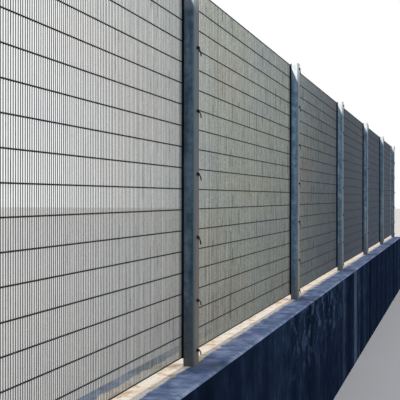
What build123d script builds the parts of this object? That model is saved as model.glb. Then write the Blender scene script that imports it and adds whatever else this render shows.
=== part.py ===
from build123d import *
import os

# A welded mesh security fence on a low concrete wall, six bays long.
# Frame: +X along the fence, +Y to the side behind the mesh, +Z up.
# The origin is under the middle of the wall, on its base. Sizes are in mm.

# Run of the fence
bay_length = 2400.0
bay_count = 6

# Wall under the fence, cast in two lengths with a filled joint
wall_height = 785.0
wall_thickness = 300.0
wall_overrun = 150.0
wall_chamfer = 8.0
joint_from_middle = 100.0
joint_width = 12.0
joint_recess = 6.0

# Welded mesh: thicker rows of wire in front of the close upright columns
row_wire = 4.0
column_wire = 3.0
weld_sink = 0.6
row_spacing = 76.2
row_count = 19
column_pitch = 12.7
modelled_columns = 3
mesh_above_wall = 28.0

# Posts: rolled hollow section, set in pockets in the wall
post_width = 65.0
post_depth = 45.0
post_wall = 3.0
post_corner = 9.0
post_embedment = 400.0
post_above_mesh = 2.0
cap_thickness = 3.0
cap_crop = 6.0

# Packing strip between post and mesh, and flat bar behind the mesh
packing_thickness = 5.0
clamp_width = 40.0
clamp_thickness = 5.0

# Square holes for the coach bolts that clamp the mesh, at every third wire
bolt_hole = 9.0
rows_per_bolt = 3
bolt_below_row = 23.0
lowest_bolt_above_wall = 55.0

# Bent rod hooks held under the bolt nuts, with a free tail
hook_rod_d = 5.0
hook_start = 5.0
hook_turn = 14.0
hook_overhang = 14.0
hook_drop = 25.0

# Places worked out from the sizes
fence_length = bay_length * bay_count
wall_end = fence_length / 2 + wall_overrun
row_y = -(row_wire + column_wire) / 2 + weld_sink
mesh_front = row_y - row_wire / 2
mesh_back = column_wire / 2
post_back = mesh_front - packing_thickness
post_front = post_back - post_depth
lowest_row = wall_height + mesh_above_wall + row_wire / 2
highest_row = lowest_row + (row_count - 1) * row_spacing
mesh_height = highest_row - lowest_row + row_wire
mesh_middle = (highest_row + lowest_row) / 2
post_top = highest_row + row_wire / 2 + post_above_mesh

# A panel is cut at a whole number of wires and leaves room for the bolts
column_spaces = int((bay_length - bolt_hole - column_wire) // column_pitch)
outer_column = column_spaces * column_pitch / 2
panel_width = 2 * outer_column + column_wire


def post_places():
    """X of each post, from the near end of the run to the far end."""
    return [-fence_length / 2 + i * bay_length for i in range(bay_count + 1)]


def bolt_heights():
    """Z of the bolts on a post; the lowest stays clear of the wall."""
    heights = []
    for row in range(0, row_count, rows_per_bolt):
        height = highest_row - row * row_spacing - bolt_below_row
        heights.append(max(height, wall_height + lowest_bolt_above_wall))
    return heights


def save(shape, name):
    """Write one sub-part to its own STEP file."""
    export_step(shape, f"parts/{name}.step")


def post_outline(inset=0.0):
    """Section of the post in plan, or its bore when inset by the wall."""
    middle = (post_back + post_front) / 2
    width = post_width - 2 * inset
    depth = post_depth - 2 * inset
    return Pos(0, middle) * RectangleRounded(width, depth, post_corner - inset)


def hole_through(height, front, back):
    """Square cutter along Y, from one depth to another."""
    middle = Pos(0, (front + back) / 2, height)
    return middle * Box(bolt_hole, back - front, bolt_hole)


def make_post():
    """Hollow post from the floor of its pocket to the top of the mesh."""
    foot = wall_height - post_embedment
    section = post_outline() - post_outline(post_wall)
    post = Pos(0, 0, foot) * extrude(section, post_top - foot)
    for height in bolt_heights():
        post -= hole_through(height, post_front, post_back)
    return post


def make_cap():
    """Flat plate with cropped corners that closes the top of a post."""
    middle = (post_back + post_front) / 2
    plate = Rectangle(post_width, post_depth)
    plate = chamfer(plate.vertices(), cap_crop)
    return Pos(0, middle, post_top) * extrude(plate, cap_thickness)


def make_panel():
    """Welded mesh panel: every row, and a few of the columns."""
    row = Box(panel_width, row_wire, row_wire)
    rows = [
        Pos(0, row_y, lowest_row + i * row_spacing) * row
        for i in range(row_count)
    ]
    column = Box(column_wire, column_wire, mesh_height)
    step = 2 * outer_column / (modelled_columns - 1)
    columns = [
        Pos(-outer_column + i * step, 0, mesh_middle) * column
        for i in range(modelled_columns)
    ]
    return columns[0].fuse(*columns[1:], *rows)


def make_flat(width, front, back):
    """Flat strip as tall as the mesh, holed for the bolts."""
    middle = Pos(0, (front + back) / 2, mesh_middle)
    strip = middle * Box(width, back - front, mesh_height)
    for height in bolt_heights():
        strip -= hole_through(height, front, back)
    return strip


def make_hook():
    """One bent rod, six-sided: along the post's face, then down past its edge."""
    radius = hook_rod_d / 2
    rod_y = post_front - radius
    tail = post_width / 2 + hook_overhang
    path = Polyline(
        (hook_start, rod_y, 0),
        (hook_turn, rod_y, 0),
        (tail, rod_y, -hook_drop),
    )
    across = Plane(origin=path @ 0, z_dir=path % 0)
    hexagon = RegularPolygon(radius, side_count=6, major_radius=False)
    return sweep(across * hexagon, path, transition=Transition.RIGHT)


def make_hooks():
    """The hooks of one post, as separate solids."""
    hook = make_hook()
    return Compound([Pos(0, 0, height) * hook for height in bolt_heights()])


def make_wall(start, end, posts):
    """One length of wall with a pocket for each post that stands in it."""
    middle = Pos((start + end) / 2, 0, wall_height / 2)
    wall = middle * Box(end - start, wall_thickness, wall_height)
    top = wall.faces().sort_by(Axis.Z)[-1]
    long_edges = top.edges().filter_by(Axis.X)
    wall = chamfer(long_edges, wall_chamfer)
    foot = wall_height - post_embedment
    for x in posts:
        if start < x < end:
            wall -= Pos(x, 0, foot) * extrude(post_outline(), post_embedment)
    return wall


def make_joint():
    """Filler strip in the joint, a little back from the wall's faces."""
    width = wall_thickness - 2 * joint_recess
    height = wall_height - joint_recess
    return Pos(joint_from_middle, 0, height / 2) * Box(joint_width, width, height)


os.makedirs("parts", exist_ok=True)
posts_x = post_places()
post = make_post()
cap = make_cap()
packing = make_flat(post_width, post_back, mesh_front)
clamp = make_flat(clamp_width, mesh_back, mesh_back + clamp_thickness)
hooks = make_hooks()
for number, x in enumerate(posts_x, 1):
    save(Pos(x, 0, 0) * post, f"post_{number}")
    save(Pos(x, 0, 0) * cap, f"post_cap_{number}")
    save(Pos(x, 0, 0) * packing, f"packing_strip_{number}")
    save(Pos(x, 0, 0) * clamp, f"clamp_bar_{number}")
    save(Pos(x, 0, 0) * hooks, f"mesh_hooks_{number}")

panel = make_panel()
for number, x in enumerate(posts_x[:-1], 1):
    save(Pos(x + bay_length / 2, 0, 0) * panel, f"mesh_panel_{number}")

near_end = joint_from_middle - joint_width / 2
far_start = joint_from_middle + joint_width / 2
save(make_wall(-wall_end, near_end, posts_x), "wall_near")
save(make_wall(far_start, wall_end, posts_x), "wall_far")
save(make_joint(), "wall_joint")
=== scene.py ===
import math

import bpy
import bmesh
from mathutils import Matrix, Vector


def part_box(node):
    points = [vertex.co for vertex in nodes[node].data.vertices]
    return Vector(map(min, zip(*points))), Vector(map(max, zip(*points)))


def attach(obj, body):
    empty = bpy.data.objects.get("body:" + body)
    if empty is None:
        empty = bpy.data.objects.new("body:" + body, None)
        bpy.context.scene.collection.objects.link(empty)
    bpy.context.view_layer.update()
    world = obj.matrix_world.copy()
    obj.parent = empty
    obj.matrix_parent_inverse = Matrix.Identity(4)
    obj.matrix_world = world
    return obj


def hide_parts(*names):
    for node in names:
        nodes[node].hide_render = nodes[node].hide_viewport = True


# The fence comes packed from its solids, in metres: +X along the fence,
# +Y behind the mesh, +Z up, with the origin under the middle of the wall.
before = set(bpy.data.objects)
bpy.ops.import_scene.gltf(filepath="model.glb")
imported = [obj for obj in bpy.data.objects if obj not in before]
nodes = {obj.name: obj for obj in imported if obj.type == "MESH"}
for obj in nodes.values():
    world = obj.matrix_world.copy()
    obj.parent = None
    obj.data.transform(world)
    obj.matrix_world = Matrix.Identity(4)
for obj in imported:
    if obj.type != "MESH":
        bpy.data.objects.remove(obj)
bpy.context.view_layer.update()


# The low wall is cast concrete in two lengths. Water has run over its ledge
# for years, so the face below is streaked almost black, flaking in one place
# and limed by the joint; that near-black navy is partly the stains and partly
# painted shade from the sky. The ledge is bare concrete drawn blue-grey, which
# is painted sky shade, with painted sunlight in a strip along the mesh and
# painted shadow round each post.
BAY = 2.4
# The face gives way to the ledge as a surface turns up (1 is level)
LEDGE_FROM, LEDGE_TO = 0.35, 0.75
BLOTCH_MM = 100
# Painted shadow of the posts on the ledge, round each post's foot
POST_SHADOW_REACH, POST_SHADOW_CORE, POST_SHADOW_STRENGTH = 0.22, 0.04, 0.6
# The strip along the mesh is painted sunlight: a ragged edge, and dry litter
SUNLIT_STRIP_MIDDLE, SUNLIT_STRIP_HALF, SUNLIT_STRIP_FADE = 0.028, 0.060, 0.008
RAGGED_MM = 60
LITTER_MM = 70
# Streaks of run-off down the face, broken by patches
STREAK_MM = 320
FINE_STREAK_MM = 60
STREAK_STRETCH = (1, 1, 0.07)
FINE_SHARE = 0.25
PATCH_MM = 160
PATCH_SHARE = 0.4
# Place along the wall, half width and strength of each run of lime
LIME_RUNS = ((0.10, 0.16, 0.55), (-0.82, 0.09, 0.15))
# The stretch of wall whose stained skin flakes, just under the ledge
FLAKING_MIDDLE, FLAKING_HALF, FLAKING_DROP, FLAKING_STRENGTH = -2.0, 1.6, 0.45, 0.55
FLAKE_MM = 150
FLAKE_STRETCH = (1, 1, 1.4)
FLAKED_FROM, FLAKED_TO = 0.51, 0.62
# The real grit is about 1 mm, drawn coarser here so that it shows
GRIT_MM = 4
GRIT_DARK, GRIT_PALE = 0.72, 1.22
PIT_DEPTH = 0.0015
wall_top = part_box("wall_near")[1][2]


def linear(hex_colour):
    """An sRGB hex colour as the linear values that a socket takes."""
    parts = [int(hex_colour[i : i + 2], 16) / 255 for i in (1, 3, 5)]
    low = [c / 12.92 for c in parts]
    high = [((c + 0.055) / 1.055) ** 2.4 for c in parts]
    return [h if c > 0.04045 else l for c, l, h in zip(parts, low, high)] + [1.0]


def add_node(tree, kind, inputs=None, stops=(), **settings):
    """Add a node: each input takes a socket, a value or a hex colour.

    Inputs whose names repeat go by number. A Mix has its factor at 0, its
    values at 2 and 3 and its colours at 6 and 7. A Map Range takes the range
    from 1 to 2 of its input to the range from 3 to 4.
    """
    node = tree.nodes.new(kind)
    for name, value in settings.items():
        setattr(node, name, value)
    for key, value in (inputs or {}).items():
        socket = node.inputs[key]
        if isinstance(value, bpy.types.NodeSocket):
            tree.links.new(value, socket)
        elif isinstance(value, str) and value.startswith("#"):
            socket.default_value = linear(value)
        else:
            socket.default_value = value
    for number, (position, colour) in enumerate(stops):
        elements = node.color_ramp.elements
        if number == len(elements):
            elements.new(position)
        elements[number].position = position
        elements[number].color = linear(colour)
    return node


def new_material(name):
    """A material with one Principled shader wired to its output."""
    material = bpy.data.materials.new(name)
    material.use_nodes = True
    tree = material.node_tree
    tree.nodes.clear()
    shader = add_node(tree, "ShaderNodeBsdfPrincipled")
    add_node(tree, "ShaderNodeOutputMaterial", {"Surface": shader.outputs[0]})
    return material, tree, shader


def dress(name, material):
    """Give a CAD node a finish in place of its plain one."""
    data = nodes[name].data
    data.materials.clear()
    data.materials.append(material)


def distance_from(tree, coordinate, middle):
    """How far a coordinate is from a middle, on either side of it."""
    away = add_node(
        tree, "ShaderNodeMath", {0: coordinate, 1: middle}, operation="SUBTRACT"
    )
    distance = add_node(
        tree, "ShaderNodeMath", {0: away.outputs[0]}, operation="ABSOLUTE"
    )
    return distance.outputs[0]


def ledge_colour(tree, place, across):
    """Bare concrete drawn blue-grey in painted sky shade, with a cream strip of painted
    sunlight along the mesh.
    """
    blotches = add_node(
        tree,
        "ShaderNodeTexNoise",
        {"Vector": place, "Scale": 1000 / BLOTCH_MM, "Detail": 7, "Roughness": 0.68},
    )
    # The blotches' blue-grey is painted shade from the sky.
    blotched_sky_shade = add_node(
        tree,
        "ShaderNodeValToRGB",
        {0: blotches.outputs[0]},
        stops=[(0.34, "#5b6e92"), (0.50, "#8496b9"), (0.66, "#b6c5e1")],
    )
    # Painted shadow of the posts: the ledge darkens towards each post's foot.
    from_post = add_node(
        tree, "ShaderNodeMath", {0: across.outputs["X"], 1: BAY / 2}, operation="PINGPONG"
    )
    post_foot_mark = add_node(
        tree,
        "ShaderNodeMapRange",
        {0: from_post.outputs[0], 1: POST_SHADOW_REACH, 2: POST_SHADOW_CORE, 3: 0, 4: POST_SHADOW_STRENGTH},
    )
    post_shadowed = add_node(
        tree,
        "ShaderNodeMix",
        {0: post_foot_mark.outputs[0], 6: blotched_sky_shade.outputs[0], 7: "#3c4860"},
        data_type="RGBA",
    )
    # Painted sunlight: a cream strip along the mesh, with a ragged edge and dry litter.
    ragged = add_node(
        tree, "ShaderNodeTexNoise", {"Vector": place, "Scale": 1000 / RAGGED_MM, "Detail": 4}
    )
    wander = add_node(
        tree,
        "ShaderNodeMapRange",
        {0: ragged.outputs[0], 1: 0.3, 2: 0.7, 3: -SUNLIT_STRIP_FADE, 4: SUNLIT_STRIP_FADE},
    )
    edge = add_node(
        tree,
        "ShaderNodeMath",
        {0: distance_from(tree, across.outputs["Y"], SUNLIT_STRIP_MIDDLE), 1: wander.outputs[0]},
        operation="ADD",
    )
    sunlit_strip = add_node(
        tree,
        "ShaderNodeMapRange",
        {0: edge.outputs[0], 1: SUNLIT_STRIP_HALF + SUNLIT_STRIP_FADE, 2: SUNLIT_STRIP_HALF},
    )
    litter = add_node(
        tree,
        "ShaderNodeTexNoise",
        {"Vector": place, "Scale": 1000 / LITTER_MM, "Detail": 5, "Roughness": 0.65},
    )
    sunlit_strip_colour = add_node(
        tree,
        "ShaderNodeValToRGB",
        {0: litter.outputs[0]},
        stops=[(0.36, "#dcbd98"), (0.47, "#faefdc"), (0.56, "#fffaf0")],
    )
    return add_node(
        tree,
        "ShaderNodeMix",
        {0: sunlit_strip.outputs[0], 6: post_shadowed.outputs[2], 7: sunlit_strip_colour.outputs[0]},
        data_type="RGBA",
    ).outputs[2]


def flaking(tree, place, across):
    """Where the stained skin has flaked off, in one stretch under the ledge."""
    ragged = add_node(
        tree, "ShaderNodeMapping", {"Vector": place, "Scale": FLAKE_STRETCH}
    )
    flakes = add_node(
        tree,
        "ShaderNodeTexNoise",
        {"Vector": ragged.outputs[0], "Scale": 1000 / FLAKE_MM, "Detail": 6, "Roughness": 0.7},
    )
    flaked = add_node(
        tree, "ShaderNodeMapRange", {0: flakes.outputs[0], 1: FLAKED_FROM, 2: FLAKED_TO}
    )
    from_middle = distance_from(tree, across.outputs["X"], FLAKING_MIDDLE)
    along = add_node(
        tree,
        "ShaderNodeMapRange",
        {0: from_middle, 1: FLAKING_HALF, 2: FLAKING_HALF / 2, 3: 0, 4: FLAKING_STRENGTH},
    )
    under_ledge = add_node(
        tree,
        "ShaderNodeMapRange",
        {0: across.outputs["Z"], 1: wall_top - FLAKING_DROP, 2: wall_top - FLAKING_DROP / 3},
    )
    stretch = add_node(
        tree,
        "ShaderNodeMath",
        {0: along.outputs[0], 1: under_ledge.outputs[0]},
        operation="MULTIPLY",
    )
    return add_node(
        tree,
        "ShaderNodeMath",
        {0: flaked.outputs[0], 1: stretch.outputs[0]},
        operation="MULTIPLY",
    ).outputs[0]


def face_colour(tree, place, across):
    """Face with run-off stains: long dark streaks and pale runs of lime, in a dark navy that is
    partly painted shade from the sky.
    """
    drawn_out = add_node(
        tree, "ShaderNodeMapping", {"Vector": place, "Scale": STREAK_STRETCH}
    ).outputs[0]
    broad = add_node(
        tree,
        "ShaderNodeTexNoise",
        {"Vector": drawn_out, "Scale": 1000 / STREAK_MM, "Detail": 4, "Roughness": 0.5},
    )
    fine = add_node(
        tree,
        "ShaderNodeTexNoise",
        {"Vector": drawn_out, "Scale": 1000 / FINE_STREAK_MM, "Detail": 3},
    )
    patches = add_node(
        tree,
        "ShaderNodeTexNoise",
        {"Vector": place, "Scale": 1000 / PATCH_MM, "Detail": 8, "Roughness": 0.7},
    )
    run_off = add_node(
        tree, "ShaderNodeMix", {0: FINE_SHARE, 2: broad.outputs[0], 3: fine.outputs[0]}
    )
    streaks = add_node(
        tree,
        "ShaderNodeMix",
        {0: PATCH_SHARE, 2: run_off.outputs[0], 3: patches.outputs[0]},
    ).outputs[0]
    # The streaks' dark navy is stains and painted shade from the sky.
    stained_and_shaded = add_node(
        tree,
        "ShaderNodeValToRGB",
        {0: streaks},
        stops=[(0.36, "#0f1828"), (0.49, "#182539"), (0.57, "#23324a"), (0.68, "#45566d")],
    )
    colour = add_node(
        tree,
        "ShaderNodeMix",
        {0: flaking(tree, place, across), 6: stained_and_shaded.outputs[0], 7: "#5a6f94"},
        data_type="RGBA",
    ).outputs[2]
    for centre, half_width, strength in LIME_RUNS:
        distance = distance_from(tree, across.outputs["X"], centre)
        near = add_node(
            tree,
            "ShaderNodeMapRange",
            {0: distance, 1: half_width, 2: half_width / 3, 3: 0, 4: strength},
        )
        lightened = add_node(
            tree, "ShaderNodeMath", {0: near.outputs[0], 1: streaks}, operation="MULTIPLY"
        )
        colour = add_node(
            tree,
            "ShaderNodeMix",
            {0: lightened.outputs[0], 6: colour, 7: "#7d90ac"},
            data_type="RGBA",
        ).outputs[2]
    return colour


def wall_material():
    """Cast concrete: its grit and pits make ledge and face matt and rough."""
    material, tree, shader = new_material("stained_concrete_with_painted_light")
    place = add_node(tree, "ShaderNodeTexCoord").outputs
    across = add_node(tree, "ShaderNodeSeparateXYZ", {0: place["Object"]})
    facing = add_node(tree, "ShaderNodeSeparateXYZ", {0: place["Normal"]})
    # Surfaces that face up take the ledge's colours, the rest the face's; both hold painted
    # shade.
    upward = add_node(
        tree, "ShaderNodeMapRange", {0: facing.outputs["Z"], 1: LEDGE_FROM, 2: LEDGE_TO}
    )
    ledge = ledge_colour(tree, place["Object"], across)
    face = face_colour(tree, place["Object"], across)
    colour = add_node(
        tree,
        "ShaderNodeMix",
        {0: upward.outputs[0], 6: face, 7: ledge},
        data_type="RGBA",
    )
    grit = add_node(
        tree,
        "ShaderNodeTexNoise",
        {"Vector": place["Object"], "Scale": 1000 / GRIT_MM, "Detail": 5, "Roughness": 0.7},
    )
    speckle = add_node(
        tree,
        "ShaderNodeMapRange",
        {0: grit.outputs[0], 1: 0.35, 2: 0.65, 3: GRIT_DARK, 4: GRIT_PALE},
    )
    speckled = add_node(
        tree,
        "ShaderNodeMix",
        {0: 1.0, 6: colour.outputs[2], 7: speckle.outputs[0]},
        data_type="RGBA",
        blend_type="MULTIPLY",
    )
    pits = add_node(
        tree,
        "ShaderNodeBump",
        {"Height": grit.outputs[0], "Distance": PIT_DEPTH, "Strength": 0.7},
    )
    tree.links.new(speckled.outputs[2], shader.inputs["Base Color"])
    tree.links.new(pits.outputs[0], shader.inputs["Normal"])
    shader.inputs["Roughness"].default_value = 0.95
    shader.inputs["Specular IOR Level"].default_value = 0.0
    return material


concrete = wall_material()
dress("wall_near", concrete)
dress("wall_far", concrete)


# The joint between the two lengths of wall is a strip of fibre board,
# soaked in bitumen and blackened where it meets the weather.
FIBRE_STRETCH = (1, 1, 0.3)
# The real fibres are finer, drawn coarser here so that they show
FIBRES_PER_METRE = 170
NAP_DEPTH = 0.001


def joint_material():
    """Bitumen-soaked fibre board: short upright fibres, dull and black."""
    material, tree, shader = new_material("bituminous_fibre_board")
    place = add_node(tree, "ShaderNodeTexCoord").outputs["Object"]
    upright = add_node(
        tree, "ShaderNodeMapping", {"Vector": place, "Scale": FIBRE_STRETCH}
    )
    fibres = add_node(
        tree,
        "ShaderNodeTexNoise",
        {"Vector": upright.outputs[0], "Scale": FIBRES_PER_METRE, "Detail": 4},
    )
    colour = add_node(
        tree,
        "ShaderNodeValToRGB",
        {0: fibres.outputs[0]},
        stops=[(0.35, "#14161a"), (0.65, "#2b2d30")],
    )
    nap = add_node(
        tree,
        "ShaderNodeBump",
        {"Height": fibres.outputs[0], "Distance": NAP_DEPTH, "Strength": 0.6},
    )
    tree.links.new(colour.outputs[0], shader.inputs["Base Color"])
    tree.links.new(nap.outputs[0], shader.inputs["Normal"])
    shader.inputs["Roughness"].default_value = 0.85
    return material


dress("wall_joint", joint_material())


# The posts are rolled steel hollow section, hot-dip galvanised, each closed by
# a welded plate. The zinc is drawn a mottled blue, and the blue is painted
# shade from the sky. The corners carry a painted highlight of the sky, the top
# painted sunlight, the front a painted reflection of sky and sunlit ground, and
# the foot painted sunlight with dust.
SPANGLE_MM = 14
MOTTLE_MM = 45
RUN_MM = 26
RUN_STRETCH = (1, 1, 0.05)
RUN_SHARE = 0.45
SPANGLE_DARK, SPANGLE_PALE = 0.9, 1.1
SMOOTHEST, DULLEST = 0.5, 0.72
RIPPLE_DEPTH = 0.0003
# Places along the fence between which the zinc is drawn darker to lighter
DARKER_POST, LIGHTER_POST = -4.8, -2.4
DARKER_TONE, LIGHTER_TONE = 0.8, 1.65
# The painted corner highlight and the painted front reflection set in as a surface turns to the
# front (-1 is fully)
CORNER_FROM, CORNER_TO = -0.08, -0.35
FRONT_FROM, FRONT_TO = -0.85, -0.99
# The painted reflection on the front varies in strength with the mottle
FRONT_REFLECTION_LOW, FRONT_REFLECTION_HIGH = 0.8, 1.25
# The painted front reflection turns warm below this height above the wall, as sunlit ground
# reflected in it
WARM_REFLECTION_BELOW = 0.9
# Painted sunlight and dust on each post's foot, up to this height above the wall
LIT_FOOT_HEIGHT = 0.30
# Painted sunlight on each post's top, down this far
SUNLIT_TOP_DROP = 0.13
post_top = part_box("post_1")[1][2]


def zinc_material(
    name, dark, middle, light, front_reflection=0.0, corner_highlight=0.0, foot_light_and_dust=0.0, top_sunlight=0.0
):
    """Dulled hot-dip zinc: a faint spangle, cloudy mottle and long runs, with painted light
    where asked: a highlight on the corners, a reflection on the front, sunlight and dust at the
    foot, and sunlight on the top.
    """
    material, tree, shader = new_material(name)
    place = add_node(tree, "ShaderNodeTexCoord").outputs
    across = add_node(tree, "ShaderNodeSeparateXYZ", {0: place["Object"]})
    facing = add_node(tree, "ShaderNodeSeparateXYZ", {0: place["Normal"]})
    spangle = add_node(
        tree,
        "ShaderNodeTexVoronoi",
        {"Vector": place["Object"], "Scale": 1000 / SPANGLE_MM},
    )
    crystal = add_node(tree, "ShaderNodeSeparateColor", {0: spangle.outputs["Color"]})
    mottle = add_node(
        tree,
        "ShaderNodeTexNoise",
        {"Vector": place["Object"], "Scale": 1000 / MOTTLE_MM, "Detail": 6, "Roughness": 0.65},
    )
    drawn_out = add_node(
        tree, "ShaderNodeMapping", {"Vector": place["Object"], "Scale": RUN_STRETCH}
    )
    runs = add_node(
        tree,
        "ShaderNodeTexNoise",
        {"Vector": drawn_out.outputs[0], "Scale": 1000 / RUN_MM, "Detail": 4},
    )
    cloud = add_node(
        tree, "ShaderNodeMix", {0: RUN_SHARE, 2: mottle.outputs[0], 3: runs.outputs[0]}
    )
    zinc = add_node(
        tree,
        "ShaderNodeValToRGB",
        {0: cloud.outputs[0]},
        stops=[(0.36, dark), (0.50, middle), (0.64, light)],
    )
    flake = add_node(
        tree,
        "ShaderNodeMapRange",
        {0: crystal.outputs[0], 1: 0, 2: 1, 3: SPANGLE_DARK, 4: SPANGLE_PALE},
    )
    tone_by_position = add_node(
        tree,
        "ShaderNodeMapRange",
        {0: across.outputs["X"], 1: DARKER_POST, 2: LIGHTER_POST, 3: DARKER_TONE, 4: LIGHTER_TONE},
    )
    tone = add_node(
        tree,
        "ShaderNodeMath",
        {0: flake.outputs[0], 1: tone_by_position.outputs[0]},
        operation="MULTIPLY",
    )
    toned = add_node(
        tree,
        "ShaderNodeMix",
        {0: 1.0, 6: zinc.outputs[0], 7: tone.outputs[0]},
        data_type="RGBA",
        blend_type="MULTIPLY",
    )
    # Painted highlight: the rounded corners are drawn a pale blue-grey, as the sky reflected in
    # them.
    corner_highlight_mask = add_node(
        tree,
        "ShaderNodeMapRange",
        {0: facing.outputs["Y"], 1: CORNER_FROM, 2: CORNER_TO, 3: 0, 4: corner_highlight},
    )
    corner_highlighted = add_node(
        tree,
        "ShaderNodeMix",
        {0: corner_highlight_mask.outputs[0], 6: toned.outputs[2], 7: "#667880"},
        data_type="RGBA",
    )
    # Painted reflection on the front face: grey above and warm lower down, as sky and sunlit
    # ground reflected in the zinc.
    front = add_node(
        tree,
        "ShaderNodeMapRange",
        {0: facing.outputs["Y"], 1: FRONT_FROM, 2: FRONT_TO, 3: 0, 4: front_reflection},
    )
    warmer_below = add_node(
        tree,
        "ShaderNodeMapRange",
        {0: across.outputs["Z"], 1: wall_top + WARM_REFLECTION_BELOW, 2: wall_top + WARM_REFLECTION_BELOW / 2},
    )
    front_reflection_colour = add_node(
        tree,
        "ShaderNodeMix",
        {0: warmer_below.outputs[0], 6: "#474e53", 7: "#5b5145"},
        data_type="RGBA",
    )
    front_reflection_strength = add_node(
        tree,
        "ShaderNodeMapRange",
        {0: cloud.outputs[0], 1: 0.42, 2: 0.58, 3: FRONT_REFLECTION_LOW, 4: FRONT_REFLECTION_HIGH},
    )
    front_reflection_tone = add_node(
        tree,
        "ShaderNodeMath",
        {0: front_reflection_strength.outputs[0], 1: tone_by_position.outputs[0]},
        operation="MULTIPLY",
    )
    toned_front_reflection = add_node(
        tree,
        "ShaderNodeMix",
        {0: 1.0, 6: front_reflection_colour.outputs[2], 7: front_reflection_tone.outputs[0]},
        data_type="RGBA",
        blend_type="MULTIPLY",
    )
    front_reflected = add_node(
        tree,
        "ShaderNodeMix",
        {0: front.outputs[0], 6: corner_highlighted.outputs[2], 7: toned_front_reflection.outputs[2]},
        data_type="RGBA",
    )
    # Painted sunlight and dust at the foot: a pale grey fading upwards in patches.
    near_foot = add_node(
        tree,
        "ShaderNodeMapRange",
        {0: across.outputs["Z"], 1: wall_top + LIT_FOOT_HEIGHT, 2: wall_top, 3: 0, 4: foot_light_and_dust},
    )
    patches = add_node(
        tree, "ShaderNodeMapRange", {0: mottle.outputs[0], 1: 0.35, 2: 0.6, 3: 0.3, 4: 1.0}
    )
    post_foot_mark = add_node(
        tree,
        "ShaderNodeMath",
        {0: near_foot.outputs[0], 1: patches.outputs[0]},
        operation="MULTIPLY",
    )
    foot_lit_and_dusty = add_node(
        tree,
        "ShaderNodeMix",
        {0: post_foot_mark.outputs[0], 6: front_reflected.outputs[2], 7: "#6b675f"},
        data_type="RGBA",
    )
    # Painted sunlight: the top of each post is drawn pale.
    sunlit_top_from, sunlit_top_to = post_top - SUNLIT_TOP_DROP, post_top - SUNLIT_TOP_DROP / 4
    near_top = add_node(
        tree,
        "ShaderNodeMapRange",
        {0: across.outputs["Z"], 1: sunlit_top_from, 2: sunlit_top_to, 3: 0, 4: top_sunlight},
    )
    lightened = add_node(
        tree,
        "ShaderNodeMix",
        {0: near_top.outputs[0], 6: foot_lit_and_dusty.outputs[2], 7: "#a9b1b7"},
        data_type="RGBA",
    )
    dullness = add_node(
        tree,
        "ShaderNodeMapRange",
        {0: mottle.outputs[0], 1: 0.3, 2: 0.7, 3: SMOOTHEST, 4: DULLEST},
    )
    ripple = add_node(
        tree,
        "ShaderNodeBump",
        {"Height": mottle.outputs[0], "Distance": RIPPLE_DEPTH, "Strength": 0.35},
    )
    tree.links.new(lightened.outputs[2], shader.inputs["Base Color"])
    tree.links.new(dullness.outputs[0], shader.inputs["Roughness"])
    tree.links.new(ripple.outputs[0], shader.inputs["Normal"])
    shader.inputs["Metallic"].default_value = 0.6
    shader.inputs["Specular IOR Level"].default_value = 0.25
    return material


# The posts' zinc is drawn blue, which is painted shade from the sky.
post_zinc = zinc_material(
    "dulled_galvanised_post",
    "#384d5f",
    "#536b7e",
    "#7a92a3",
    front_reflection=0.85,
    corner_highlight=0.7,
    foot_light_and_dust=0.75,
    top_sunlight=0.8,
)
post_nodes = sorted(n for n in nodes if n.startswith("post_") and n[5:].isdigit())
for name in post_nodes:
    dress(name, post_zinc)
    dress(name.replace("post_", "post_cap_"), post_zinc)


# Between each post and the mesh is a packing strip of black rubber, which
# keeps the zinc of the two from rubbing. Its blue-black is partly its own colour
# and partly painted shade of the gap behind the post. Sun has bloomed it a
# little grey.
BLOOM_MM = 25


def rubber_material():
    """Weathered rubber: black with painted blue shade, dull and faintly bloomed."""
    material, tree, shader = new_material("rubber_strip_with_painted_shade")
    place = add_node(tree, "ShaderNodeTexCoord").outputs["Object"]
    bloom = add_node(
        tree, "ShaderNodeTexNoise", {"Vector": place, "Scale": 1000 / BLOOM_MM, "Detail": 5}
    )
    colour = add_node(
        tree,
        "ShaderNodeValToRGB",
        {0: bloom.outputs[0]},
        stops=[(0.35, "#040b15"), (0.68, "#172230")],
    )
    tree.links.new(colour.outputs[0], shader.inputs["Base Color"])
    shader.inputs["Roughness"].default_value = 0.8
    shader.inputs["Specular IOR Level"].default_value = 0.2
    return material


rubber = rubber_material()
for name in sorted(n for n in nodes if n.startswith("packing_strip_")):
    dress(name, rubber)


# Each bay is one sheet of welded wire: 189 thin upright wires behind 19
# thicker rows, resistance-welded where they cross and then galvanised. The
# wires came off a coil, so they lie a little unevenly and dull unevenly too.
ROW_COUNT = 19
ROW_WIRE = 0.004
ROW_SIDES = 10
ROW_STRAY = 0.0008
COLUMN_WIRE = 0.003
COLUMN_PITCH = 0.0127
COLUMN_SIDES = 8
COLUMN_STRAY = 0.0005
COLUMN_LEAN = math.radians(0.05)
WELD_RADIUS = 0.0027
# Grime and drips are finer on the real wire, drawn coarser here to show
COLUMN_GRIME_MM = 9
ZINC_DRIP_MM = 10
LENGTH_STRETCH = (1, 1, 0.12)
TONE_SHARE, DRIP_SHARE = 0.2, 0.4
# The zinc's colour drifts a little across a sheet, longest along the fence
SHEET_CAST_MM = 380
CAST_STRETCH = (0.3, 1, 1)
# The wires are drawn darker towards the foot and lighter towards the top
TONE_HEIGHT, FOOT_TONE, TOP_TONE = 1.4, 0.66, 1.22
# One wire in five has short worn lengths, where its thin zinc has darkened
WORN_FROM, WORN_TO, WORN_STRENGTH = 0.80, 0.82, 0.7
WORN_LENGTH_MM = 20
BREAK_FROM, BREAK_TO = 0.53, 0.58
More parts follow.
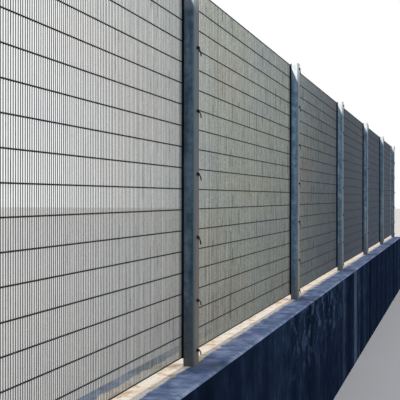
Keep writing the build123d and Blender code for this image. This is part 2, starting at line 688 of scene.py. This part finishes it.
# Grime and painted shade at the near and far ends of each sheet; the far bays are painted
# darkest, as shade of trees
SHEET_GRIME_AND_SHADE = (
    (0.32, 0.32),
    (0.0, 0.0),
    (0.0, 0.55),
    (0.78, 0.74),
    (0.88, 0.88),
    (0.88, 0.88),
)
ROW_GRIME_PER_METRE = 60
panel_low, panel_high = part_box("mesh_panel_1")
panel_width = panel_high[0] - panel_low[0]
panel_height = panel_high[2] - panel_low[2]
column_count = round((panel_width - COLUMN_WIRE) / COLUMN_PITCH) + 1
row_spacing = (panel_height - ROW_WIRE) / (ROW_COUNT - 1)
row_y = panel_low[1] + ROW_WIRE / 2
column_y = panel_high[1] - COLUMN_WIRE / 2


def column_material():
    """Upright wires: each its own grey, in short lighter and grimier lengths."""
    material, tree, shader = new_material("galvanised_column_wire")
    place = add_node(tree, "ShaderNodeTexCoord").outputs["Object"]
    wire_tone = add_node(
        tree, "ShaderNodeAttribute", attribute_name="wire_tone"
    ).outputs["Fac"]
    lengths = add_node(
        tree, "ShaderNodeMapping", {"Vector": place, "Scale": LENGTH_STRETCH}
    ).outputs[0]
    grime = add_node(
        tree,
        "ShaderNodeTexNoise",
        {"Vector": lengths, "Scale": 1000 / COLUMN_GRIME_MM, "Detail": 5, "Roughness": 0.75},
    )
    mixed = add_node(
        tree, "ShaderNodeMix", {0: TONE_SHARE, 2: grime.outputs[0], 3: wire_tone}
    )
    drips = add_node(
        tree,
        "ShaderNodeTexNoise",
        {"Vector": place, "Scale": 1000 / ZINC_DRIP_MM, "Detail": 3},
    )
    speckled = add_node(
        tree, "ShaderNodeMix", {0: DRIP_SHARE, 2: mixed.outputs[0], 3: drips.outputs[0]}
    )
    zinc = add_node(
        tree,
        "ShaderNodeValToRGB",
        {0: speckled.outputs[0]},
        stops=[(0.33, "#788180"), (0.50, "#9ea6a2"), (0.67, "#c3c9c4")],
    )
    drawn_along = add_node(
        tree, "ShaderNodeMapping", {"Vector": place, "Scale": CAST_STRETCH}
    )
    cast = add_node(
        tree,
        "ShaderNodeTexNoise",
        {"Vector": drawn_along.outputs[0], "Scale": 1000 / SHEET_CAST_MM, "Detail": 2},
    )
    cast_colour = add_node(
        tree,
        "ShaderNodeValToRGB",
        {0: cast.outputs[0]},
        stops=[(0.34, "#f1f6fd"), (0.50, "#fbfdfb"), (0.66, "#fcf6f0")],
    )
    cast_zinc = add_node(
        tree,
        "ShaderNodeMix",
        {0: 1.0, 6: zinc.outputs[0], 7: cast_colour.outputs[0]},
        data_type="RGBA",
        blend_type="MULTIPLY",
    )
    height = add_node(tree, "ShaderNodeSeparateXYZ", {0: place}).outputs["Z"]
    dulled = add_node(
        tree,
        "ShaderNodeMapRange",
        {0: height, 1: wall_top, 2: wall_top + TONE_HEIGHT, 3: FOOT_TONE, 4: TOP_TONE},
    )
    tone_by_position = add_node(
        tree,
        "ShaderNodeMix",
        {0: 1.0, 6: cast_zinc.outputs[2], 7: dulled.outputs[0]},
        data_type="RGBA",
        blend_type="MULTIPLY",
    )
    worn_wire = add_node(
        tree,
        "ShaderNodeMapRange",
        {0: wire_tone, 1: WORN_FROM, 2: WORN_TO, 3: 0, 4: WORN_STRENGTH},
    )
    breaks = add_node(
        tree,
        "ShaderNodeTexNoise",
        {"Vector": lengths, "Scale": 1000 / WORN_LENGTH_MM, "Detail": 3},
    )
    worn_length = add_node(
        tree, "ShaderNodeMapRange", {0: breaks.outputs[0], 1: BREAK_FROM, 2: BREAK_TO}
    )
    wear = add_node(
        tree,
        "ShaderNodeMath",
        {0: worn_wire.outputs[0], 1: worn_length.outputs[0]},
        operation="MULTIPLY",
    )
    worn = add_node(
        tree,
        "ShaderNodeMix",
        {0: wear.outputs[0], 6: tone_by_position.outputs[2], 7: "#3c464c"},
        data_type="RGBA",
    )
    # Grime and painted shade: each sheet's wires darken between the tones given for its ends.
    sheet_grime = add_node(tree, "ShaderNodeAttribute", attribute_name="sheet_grime")
    colour = add_node(
        tree,
        "ShaderNodeMix",
        {0: sheet_grime.outputs["Fac"], 6: worn.outputs[2], 7: "#545f6f"},
        data_type="RGBA",
    )
    tree.links.new(colour.outputs[2], shader.inputs["Base Color"])
    shader.inputs["Roughness"].default_value = 0.7
    shader.inputs["Specular IOR Level"].default_value = 0.2
    return material


def row_material():
    """Cross wires and welds: near black, painted shade where they lie in the shadow of the
    upright wires, mottled with grime.
    """
    material, tree, shader = new_material("row_wire_with_painted_shade")
    place = add_node(tree, "ShaderNodeTexCoord").outputs["Object"]
    grime = add_node(
        tree,
        "ShaderNodeTexNoise",
        {"Vector": place, "Scale": ROW_GRIME_PER_METRE, "Detail": 5, "Roughness": 0.7},
    )
    # The rows' near black is painted shade, mottled with grime.
    colour = add_node(
        tree,
        "ShaderNodeValToRGB",
        {0: grime.outputs[0]},
        stops=[(0.34, "#081017"), (0.52, "#121d26"), (0.68, "#29343b")],
    )
    tree.links.new(colour.outputs[0], shader.inputs["Base Color"])
    shader.inputs["Roughness"].default_value = 0.7
    shader.inputs["Specular IOR Level"].default_value = 0.15
    return material


def mesh_tree():
    """Geometry nodes for one sheet of welded wire, and its inputs' identifiers."""
    tree = bpy.data.node_groups.new("welded_wire_sheet", "GeometryNodeTree")
    sockets = tree.interface
    sockets.new_socket("Geometry", in_out="OUTPUT", socket_type="NodeSocketGeometry")
    sizes = {
        "Rows": ("NodeSocketInt", ROW_COUNT),
        "Columns": ("NodeSocketInt", column_count),
        "Seed": ("NodeSocketInt", 0),
        "Start": ("NodeSocketFloat", 0.0),
        "Near grime": ("NodeSocketFloat", 0.0),
        "Far grime": ("NodeSocketFloat", 0.0),
        "Row spacing": ("NodeSocketFloat", row_spacing),
        "Column pitch": ("NodeSocketFloat", COLUMN_PITCH),
        "Row radius": ("NodeSocketFloat", ROW_WIRE / 2),
        "Column radius": ("NodeSocketFloat", COLUMN_WIRE / 2),
        "Weld radius": ("NodeSocketFloat", WELD_RADIUS),
        "Width": ("NodeSocketFloat", panel_width),
        "Height": ("NodeSocketFloat", panel_height),
    }
    identifiers = {}
    for label, (kind, value) in sizes.items():
        socket = sockets.new_socket(label, in_out="INPUT", socket_type=kind)
        socket.default_value = value
        identifiers[label] = socket.identifier
    given = add_node(tree, "NodeGroupInput").outputs

    def wire(radius, reach, sides):
        """A round wire that reaches from the origin, with closed ends."""
        end = add_node(tree, "ShaderNodeCombineXYZ", reach)
        axis = add_node(tree, "GeometryNodeCurvePrimitiveLine", {"End": end.outputs[0]})
        ring = add_node(
            tree, "GeometryNodeCurvePrimitiveCircle", {"Resolution": sides, "Radius": radius}
        )
        solid = add_node(
            tree,
            "GeometryNodeCurveToMesh",
            {0: axis.outputs[0], "Profile Curve": ring.outputs[0], "Fill Caps": True},
        )
        return add_node(tree, "GeometryNodeSetShadeSmooth", {0: solid.outputs[0]}).outputs[0]

    def line(count, step, stray):
        """Places at even steps, each a little astray."""
        offset = add_node(tree, "ShaderNodeCombineXYZ", step)
        points = add_node(
            tree, "GeometryNodeMeshLine", {"Count": count, "Offset": offset.outputs[0]}
        )
        astray = add_node(
            tree,
            "FunctionNodeRandomValue",
            {0: tuple(-part for part in stray), 1: stray, "Seed": given["Seed"]},
            data_type="FLOAT_VECTOR",
        )
        return add_node(
            tree, "GeometryNodeSetPosition", {0: points.outputs[0], "Offset": astray.outputs[0]}
        ).outputs[0]

    def finished(instances, start, material):
        """Instances moved to where they start, made real and given a finish."""
        translation = add_node(tree, "ShaderNodeCombineXYZ", start)
        moved = add_node(
            tree,
            "GeometryNodeTransform",
            {0: instances.outputs[0], "Translation": translation.outputs[0]},
        )
        real = add_node(tree, "GeometryNodeRealizeInstances", {0: moved.outputs[0]})
        return add_node(
            tree, "GeometryNodeSetMaterial", {0: real.outputs[0], "Material": material}
        ).outputs[0]

    row = wire(given["Row radius"], {"X": given["Width"]}, ROW_SIDES)
    row_places = line(given["Rows"], {"Z": given["Row spacing"]}, (0, 0, ROW_STRAY))
    rows = add_node(
        tree, "GeometryNodeInstanceOnPoints", {"Points": row_places, "Instance": row}
    )

    column = wire(given["Column radius"], {"Z": given["Height"]}, COLUMN_SIDES)
    column_places = line(
        given["Columns"], {"X": given["Column pitch"]}, (COLUMN_STRAY, 0, 0)
    )
    columns = add_node(
        tree, "GeometryNodeInstanceOnPoints", {"Points": column_places, "Instance": column}
    )
    lean = add_node(
        tree,
        "FunctionNodeRandomValue",
        {0: (0, -COLUMN_LEAN, 0), 1: (0, COLUMN_LEAN, 0), "Seed": given["Seed"]},
        data_type="FLOAT_VECTOR",
    )
    half_height = add_node(
        tree, "ShaderNodeMath", {0: given["Height"], 1: 0.5}, operation="MULTIPLY"
    )
    middle = add_node(tree, "ShaderNodeCombineXYZ", {"Z": half_height.outputs[0]})
    leaning = add_node(
        tree,
        "GeometryNodeRotateInstances",
        {0: columns.outputs[0], "Rotation": lean.outputs[0], "Pivot Point": middle.outputs[0]},
    )
    tone = add_node(tree, "FunctionNodeRandomValue", {"Seed": given["Seed"]})
    toned = add_node(
        tree,
        "GeometryNodeStoreNamedAttribute",
        {0: leaning.outputs[0], "Name": "wire_tone", "Value": tone.outputs[1]},
        domain="INSTANCE",
    )
    place = add_node(tree, "GeometryNodeInputPosition").outputs[0]
    along = add_node(tree, "ShaderNodeSeparateXYZ", {0: place}).outputs["X"]
    # Grime and painted shade across the sheet, from its near end to its far end.
    wire_grime_and_shade = add_node(
        tree,
        "ShaderNodeMapRange",
        {0: along, 1: 0, 2: given["Width"], 3: given["Near grime"], 4: given["Far grime"]},
    )
    grimed_and_shaded = add_node(
        tree,
        "GeometryNodeStoreNamedAttribute",
        {0: toned.outputs[0], "Name": "sheet_grime", "Value": wire_grime_and_shade.outputs[0]},
        domain="INSTANCE",
    )

    bead = add_node(
        tree, "GeometryNodeMeshIcoSphere", {"Radius": given["Weld radius"], "Subdivisions": 1}
    )
    round_bead = add_node(tree, "GeometryNodeSetShadeSmooth", {0: bead.outputs[0]})
    weld_step = add_node(tree, "ShaderNodeCombineXYZ", {"X": given["Column pitch"]})
    weld_line = add_node(
        tree,
        "GeometryNodeMeshLine",
        {"Count": given["Columns"], "Offset": weld_step.outputs[0]},
    )
    weld_row = add_node(
        tree,
        "GeometryNodeInstanceOnPoints",
        {"Points": weld_line.outputs[0], "Instance": round_bead.outputs[0]},
    )
    welds = add_node(
        tree,
        "GeometryNodeInstanceOnPoints",
        {"Points": row_places, "Instance": weld_row.outputs[0]},
    )

    first_column = add_node(
        tree,
        "ShaderNodeMath",
        {0: given["Start"], 1: given["Column radius"]},
        operation="ADD",
    ).outputs[0]
    foot = panel_low[2]
    lowest_row = foot + ROW_WIRE / 2
    row_start = {"X": given["Start"], "Y": row_y, "Z": lowest_row}
    column_start = {"X": first_column, "Y": column_y, "Z": foot}
    weld_start = {"X": first_column, "Y": (row_y + column_y) / 2, "Z": lowest_row}
    sheet = add_node(tree, "GeometryNodeJoinGeometry")
    for part in (
        finished(rows, row_start, row_finish),
        finished(grimed_and_shaded, column_start, column_finish),
        finished(welds, weld_start, row_finish),
    ):
        tree.links.new(part, sheet.inputs[0])
    add_node(tree, "NodeGroupOutput", {0: sheet.outputs[0]})
    return tree, identifiers


def grown_mesh(tree, settings=None, start=None):
    """The plain mesh that a geometry node tree makes, from a start mesh if any."""
    carrier = bpy.data.objects.new("carrier", start or bpy.data.meshes.new("start"))
    bpy.context.scene.collection.objects.link(carrier)
    modifier = carrier.modifiers.new("make", "NODES")
    modifier.node_group = tree
    for identifier, value in (settings or {}).items():
        modifier[identifier] = value
    graph = bpy.context.evaluated_depsgraph_get()
    mesh = bpy.data.meshes.new_from_object(carrier.evaluated_get(graph))
    bpy.data.objects.remove(carrier)
    return mesh


def place_piece(name, mesh):
    """Put a finished mesh in the scene as a piece of the fence."""
    piece = bpy.data.objects.new(name, mesh)
    bpy.context.scene.collection.objects.link(piece)
    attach(piece, "root")
    return piece


row_finish = row_material()
column_finish = column_material()
sheet_tree, sheet_inputs = mesh_tree()
for number, name in enumerate(sorted(n for n in nodes if n.startswith("mesh_panel_"))):
    near_grime_and_shade, far_grime_and_shade = SHEET_GRIME_AND_SHADE[number]
    choice = {
        sheet_inputs["Start"]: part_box(name)[0][0],
        sheet_inputs["Seed"]: number,
        sheet_inputs["Near grime"]: near_grime_and_shade,
        sheet_inputs["Far grime"]: far_grime_and_shade,
    }
    sheet = place_piece(
        name.replace("panel", "sheet"), grown_mesh(sheet_tree, choice)
    )
    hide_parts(name)


# A flat bar behind the mesh at each post presses it to the post's back.
# It is the same dulled zinc as the posts, drawn darker.
clamp_zinc = zinc_material("darker_galvanised_flat", "#333c45", "#4a545e", "#68727b")
for name in sorted(n for n in nodes if n.startswith("clamp_bar_")):
    dress(name, clamp_zinc)


# A zinc-plated bolt through each post at every third row clamps the mesh: its
# cup head is behind the clamp bar, and its washer and nut are on the post's
# face. The nut is drawn near black, which is painted shade on its side, and
# the washer a warm grey.
BOLT_BELOW_ROW = 0.023
LOWEST_BOLT = 0.055
ROWS_PER_BOLT = 3
NUT_ACROSS = 0.010
NUT_THICK = 0.006
WASHER_RADIUS = 0.0075
WASHER_THICK = 0.001
BOLT_RADIUS = 0.003
BOLT_END = 0.002
BOLT_TURN = 25
TURN_SEED = 7
HEAD_RADIUS = 0.010
HEAD_RISE = 0.0045
HEAD_SLOPES = (0, 25, 50, 75, 88)
EDGE_BREAK = 0.0006
post_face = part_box("post_1")[0][1]
washer_front = post_face - WASHER_THICK
clamp_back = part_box("clamp_bar_1")[1][1]
highest_row = panel_high[2] - ROW_WIRE / 2


def bolt_places(post):
    """Where a post's bolts are, from the top down."""
    low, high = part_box(post)
    rows = range(0, ROW_COUNT, ROWS_PER_BOLT)
    heights = [highest_row - i * row_spacing - BOLT_BELOW_ROW for i in rows]
    return [((low[0] + high[0]) / 2, 0.0, max(z, wall_top + LOWEST_BOLT)) for z in heights]


def turned_form(shape, rings, sides):
    """Add a closed form round the Y axis, from rings of (radius, depth)."""
    turns = [2 * math.pi * (i + 0.5) / sides for i in range(sides)]
    loops = [
        [shape.verts.new((radius * math.cos(a), y, radius * math.sin(a))) for a in turns]
        for radius, y in rings
    ]
    for first, second in zip(loops, loops[1:]):
        for i in range(sides):
            k = (i + 1) % sides
            shape.faces.new((first[i], first[k], second[k], second[i]))
    shape.faces.new(loops[0])
    shape.faces.new(loops[-1])


def closed_mesh(name, shape):
    """A plain mesh of a finished form, with its faces turned outwards."""
    bmesh.ops.recalc_face_normals(shape, faces=shape.faces)
    mesh = bpy.data.meshes.new(name)
    shape.to_mesh(mesh)
    shape.free()
    return mesh


def washer_mesh():
    """Flat round washer on the post's face, with its front edge broken."""
    shape = bmesh.new()
    rings = [
        (WASHER_RADIUS, post_face),
        (WASHER_RADIUS, washer_front + WASHER_THICK / 3),
        (WASHER_RADIUS - WASHER_THICK / 3, washer_front),
    ]
    turned_form(shape, rings, sides=20)
    return closed_mesh("washer", shape)


def bolt_mesh():
    """Nut and bolt end at the front, and cup head at the back."""
    shape = bmesh.new()
    nut_front = washer_front - NUT_THICK
    corner = NUT_ACROSS / math.sqrt(3)
    nut = [
        (corner - EDGE_BREAK, washer_front),
        (corner, washer_front - EDGE_BREAK / 2),
        (corner, nut_front + EDGE_BREAK / 2),
        (corner - EDGE_BREAK, nut_front),
    ]
    turned_form(shape, nut, sides=6)
    bolt_end = [
        (BOLT_RADIUS, nut_front),
        (BOLT_RADIUS, nut_front - BOLT_END + EDGE_BREAK),
        (BOLT_RADIUS - EDGE_BREAK, nut_front - BOLT_END),
    ]
    turned_form(shape, bolt_end, sides=12)
    slopes = [math.radians(angle) for angle in HEAD_SLOPES]
    head = [(HEAD_RADIUS * math.cos(a), clamp_back + HEAD_RISE * math.sin(a)) for a in slopes]
    turned_form(shape, head, sides=16)
    return closed_mesh("bolt", shape)


def scatter_tree(source, material, turn_degrees):
    """Geometry nodes that set one shape at each given point, turned a little."""
    tree = bpy.data.node_groups.new("set_at_bolts", "GeometryNodeTree")
    sockets = tree.interface
    sockets.new_socket("Geometry", in_out="OUTPUT", socket_type="NodeSocketGeometry")
    sockets.new_socket("Geometry", in_out="INPUT", socket_type="NodeSocketGeometry")
    turn = sockets.new_socket("Turn", in_out="INPUT", socket_type="NodeSocketFloat")
    turn.default_value = math.radians(turn_degrees)
    given = add_node(tree, "NodeGroupInput").outputs
    shape = add_node(
        tree, "GeometryNodeObjectInfo", {"Object": source, "As Instance": True}
    )
    spread = add_node(
        tree,
        "GeometryNodeInstanceOnPoints",
        {"Points": given["Geometry"], "Instance": shape.outputs["Geometry"]},
    )
    least = add_node(
        tree, "ShaderNodeMath", {0: given["Turn"], 1: -1.0}, operation="MULTIPLY"
    )
    angle = add_node(
        tree,
        "FunctionNodeRandomValue",
        {2: least.outputs[0], 3: given["Turn"], "Seed": TURN_SEED},
    )
    spin = add_node(tree, "ShaderNodeCombineXYZ", {"Y": angle.outputs[1]})
    turned = add_node(
        tree,
        "GeometryNodeRotateInstances",
        {0: spread.outputs[0], "Rotation": spin.outputs[0]},
    )
    real = add_node(tree, "GeometryNodeRealizeInstances", {0: turned.outputs[0]})
    painted = add_node(
        tree, "GeometryNodeSetMaterial", {0: real.outputs[0], "Material": material}
    )
    add_node(tree, "NodeGroupOutput", {0: painted.outputs[0]})
    return tree


def scattered_mesh(shape_mesh, material, places, turn_degrees):
    """Copies of a shape at the given places, as one plain mesh."""
    source = bpy.data.objects.new("source", shape_mesh)
    bpy.context.scene.collection.objects.link(source)
    points = bpy.data.meshes.new("places")
    points.from_pydata(places, [], [])
    mesh = grown_mesh(scatter_tree(source, material, turn_degrees), start=points)
    bpy.data.objects.remove(source)
    return mesh


# The bolt's near black is painted shade; the washer is drawn a warm grey.
bolt_zinc = zinc_material("bolt_zinc_with_painted_shade", "#0d1118", "#171d27", "#2a323c")
washer_zinc = zinc_material("warm_grey_washer_zinc", "#454a48", "#504e4a", "#62544a")
every_bolt = [place for post in post_nodes for place in bolt_places(post)]
for name, shape_mesh, zinc in (
    ("mesh_washers", washer_mesh(), washer_zinc),
    ("mesh_bolts", bolt_mesh(), bolt_zinc),
):
    place_piece(name, scattered_mesh(shape_mesh, zinc, every_bolt, BOLT_TURN))


# A bent rod hook of galvanised steel is held at each nut: it lies along the
# post's face, then bends down past its far edge to a free tail. Each was bent
# by hand, so no two hang quite alike.
HOOK_ROD = 0.005
HOOK_TURN = 0.014
HOOK_TAIL_BEND = (0.007, 0.013)
HOOK_BEND = 0.007
HOOK_SWING = 5
BEND_STEPS = 6
hook_low, hook_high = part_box("mesh_hooks_1")
post_low, post_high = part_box("post_1")
post_x = (post_low[0] + post_high[0]) / 2
lowest_bolt = bolt_places("post_1")[-1][2]
hook_tip = (hook_high[0] - post_x - HOOK_ROD / 2, hook_low[2] - lowest_bolt + HOOK_ROD / 2)


def bent_path(corners, bend):
    """Points of a path whose inner corners are eased over the bend length."""
    path = [Vector(corners[0])]
    for before, corner, after in zip(corners, corners[1:], corners[2:]):
        here = Vector(corner)
        start = here + (Vector(before) - here).normalized() * bend
        end = here + (Vector(after) - here).normalized() * bend
        for step in range(BEND_STEPS + 1):
            k = step / BEND_STEPS
            path.append(start.lerp(here, k).lerp(here.lerp(end, k), k))
    path.append(Vector(corners[-1]))
    return path


def hook_mesh():
    """One bent rod, round, with closed ends."""
    rod_y = post_face - HOOK_ROD / 2
    tip_x, tip_z = hook_tip
    tail = (tip_x - HOOK_TAIL_BEND[0], rod_y, tip_z + HOOK_TAIL_BEND[1])
    corners = [(0.0, rod_y, 0.0), (HOOK_TURN, rod_y, 0.0), tail, (tip_x, rod_y, tip_z)]
    curve = bpy.data.curves.new("rod", "CURVE")
    curve.dimensions = "3D"
    curve.bevel_depth = HOOK_ROD / 2
    curve.bevel_resolution = 2
    curve.use_fill_caps = True
    path = bent_path(corners, HOOK_BEND)
    spline = curve.splines.new("POLY")
    spline.points.add(len(path) - 1)
    for point, place in zip(spline.points, path):
        point.co = (*place, 1)
    rod = bpy.data.objects.new("rod", curve)
    bpy.context.scene.collection.objects.link(rod)
    graph = bpy.context.evaluated_depsgraph_get()
    mesh = bpy.data.meshes.new_from_object(rod.evaluated_get(graph))
    bpy.data.objects.remove(rod)
    return mesh


hook_zinc = zinc_material("weathered_hook_rod", "#24343f", "#3a4e5b", "#5b7080")
one_hook = hook_mesh()
for post in post_nodes:
    rods = scattered_mesh(one_hook, hook_zinc, bolt_places(post), HOOK_SWING)
    number = post.rsplit("_", 1)[1]
    hooks = place_piece("bent_hooks_" + number, rods)
    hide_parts("mesh_hooks_" + number)


# The studio: a pale floor that runs out to a white distance, a broad lamp on
# the near side, a lower and harder one along the fence from behind, and the
# photograph's view along the fence, a hair below level and slightly rolled.
FLOOR_REACH = 120.0
ROOM_LIGHT = 0.4
VIEW_PLACE = (-8.2407, -0.9576, 1.3924)
VIEW_HEADING = 14.5394
VIEW_TILT = -0.1391
VIEW_ROLL = 0.0542
VIEW_REACH = 500.0
FOCAL_PX = 982.5
FRAME_PX = 400
SENSOR_MM = 36.0


def seen_plainly(tree):
    """One where a ray comes from the camera, straight or by gloss or glass."""
    path = add_node(tree, "ShaderNodeLightPath").outputs
    camera_or_gloss = add_node(
        tree,
        "ShaderNodeMath",
        {0: path["Is Camera Ray"], 1: path["Is Glossy Ray"]},
        operation="MAXIMUM",
    )
    return add_node(
        tree,
        "ShaderNodeMath",
        {0: camera_or_gloss.outputs[0], 1: path["Is Transmission Ray"]},
        operation="MAXIMUM",
    ).outputs[0]


def make_floor():
    """A flat floor of pale paint, far wider than the fence."""
    material, tree, shader = new_material("pale_floor_paint")
    colour = add_node(
        tree,
        "ShaderNodeMix",
        {0: seen_plainly(tree), 6: "#8f9194", 7: "#e4e4e2"},
        data_type="RGBA",
    )
    tree.links.new(colour.outputs[2], shader.inputs["Base Color"])
    shader.inputs["Roughness"].default_value = 0.95
    shader.inputs["Specular IOR Level"].default_value = 0.1
    mesh = bpy.data.meshes.new("floor")
    corners = [(-1, -1), (1, -1), (1, 1), (-1, 1)]
    places = [(x * FLOOR_REACH, y * FLOOR_REACH, 0) for x, y in corners]
    mesh.from_pydata(places, [], [(0, 1, 2, 3)])
    mesh.materials.append(material)
    floor = bpy.data.objects.new("floor", mesh)
    bpy.context.scene.collection.objects.link(floor)


def make_world():
    """A soft, slightly blue room that a camera sees as white."""
    world = bpy.data.worlds.new("soft_room")
    bpy.context.scene.world = world
    world.use_nodes = True
    tree = world.node_tree
    tree.nodes.clear()
    plain = seen_plainly(tree)
    colour = add_node(
        tree, "ShaderNodeMix", {0: plain, 6: "#dfe9ff", 7: "#ffffff"}, data_type="RGBA"
    )
    strength = add_node(tree, "ShaderNodeMapRange", {0: plain, 3: ROOM_LIGHT, 4: 1.0})
    room = add_node(
        tree,
        "ShaderNodeBackground",
        {"Color": colour.outputs[2], "Strength": strength.outputs[0]},
    )
    add_node(tree, "ShaderNodeOutputWorld", {"Surface": room.outputs[0]})


def make_lamp(name, towards, energy, softness_degrees, colour):
    """A sun lamp that shines along a direction."""
    lamp = bpy.data.lights.new(name, "SUN")
    lamp.energy = energy
    lamp.angle = math.radians(softness_degrees)
    lamp.color = linear(colour)[:3]
    holder = bpy.data.objects.new(name, lamp)
    holder.rotation_euler = Vector(towards).to_track_quat("-Z", "Y").to_euler()
    bpy.context.scene.collection.objects.link(holder)


def make_camera():
    """The photograph's view, low beside the near end and along the run."""
    camera = bpy.data.cameras.new("view")
    camera.sensor_width = SENSOR_MM
    camera.lens = SENSOR_MM * FOCAL_PX / FRAME_PX
    camera.clip_end = VIEW_REACH
    view = bpy.data.objects.new("view", camera)
    turn = Matrix.Rotation(math.radians(VIEW_HEADING - 90), 4, "Z")
    tilt = Matrix.Rotation(math.radians(90 + VIEW_TILT), 4, "X")
    roll = Matrix.Rotation(math.radians(VIEW_ROLL), 4, "Z")
    view.rotation_euler = (turn @ tilt @ roll).to_euler()
    view.location = VIEW_PLACE
    bpy.context.scene.collection.objects.link(view)
    bpy.context.scene.camera = view


make_floor()
make_world()
make_lamp(
    "near_side",
    towards=(-0.45, 0.75, -0.45),
    energy=1.5,
    softness_degrees=30,
    colour="#fff8f0",
)
make_lamp(
    "along_fence",
    towards=(1.0, -0.13, -0.30),
    energy=4.5,
    softness_degrees=0.6,
    colour="#fff1e0",
)
make_camera()
bpy.context.scene.view_settings.view_transform = "Standard"
